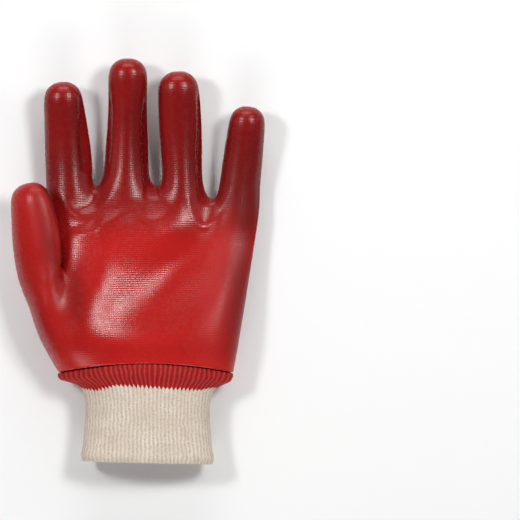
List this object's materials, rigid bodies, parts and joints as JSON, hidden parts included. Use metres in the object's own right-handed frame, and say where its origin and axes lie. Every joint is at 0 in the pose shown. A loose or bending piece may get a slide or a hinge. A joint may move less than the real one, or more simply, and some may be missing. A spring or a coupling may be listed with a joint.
{
  "type": "coated work glove",
  "caption": "Left hand work glove, red PVC coated over a cotton liner, with a ribbed knitted wrist, lying palm up.",
  "frame": {"origin": "bottom centre of the glove's bounding box, on the surface it lies on", "axes": "+X from the thumb's side to the little finger, +Y from the wrist to the fingertips, +Z out of the palm"},
  "size_m": [0.1654, 0.2628, 0.0465],
  "materials": {
    "hand_coating": "semi-gloss dipped PVC, soft to the touch",
    "band_coating": "PVC soaked into the ribs, half matt",
    "cuff_knit": "bare cotton rib knit, matt"
  },
  "bodies": {
    "root": {"coated_hand": "hand_coating", "coated_rib_band": "band_coating", "knit_cuff": "cuff_knit"}
  },
  "joints": []
}
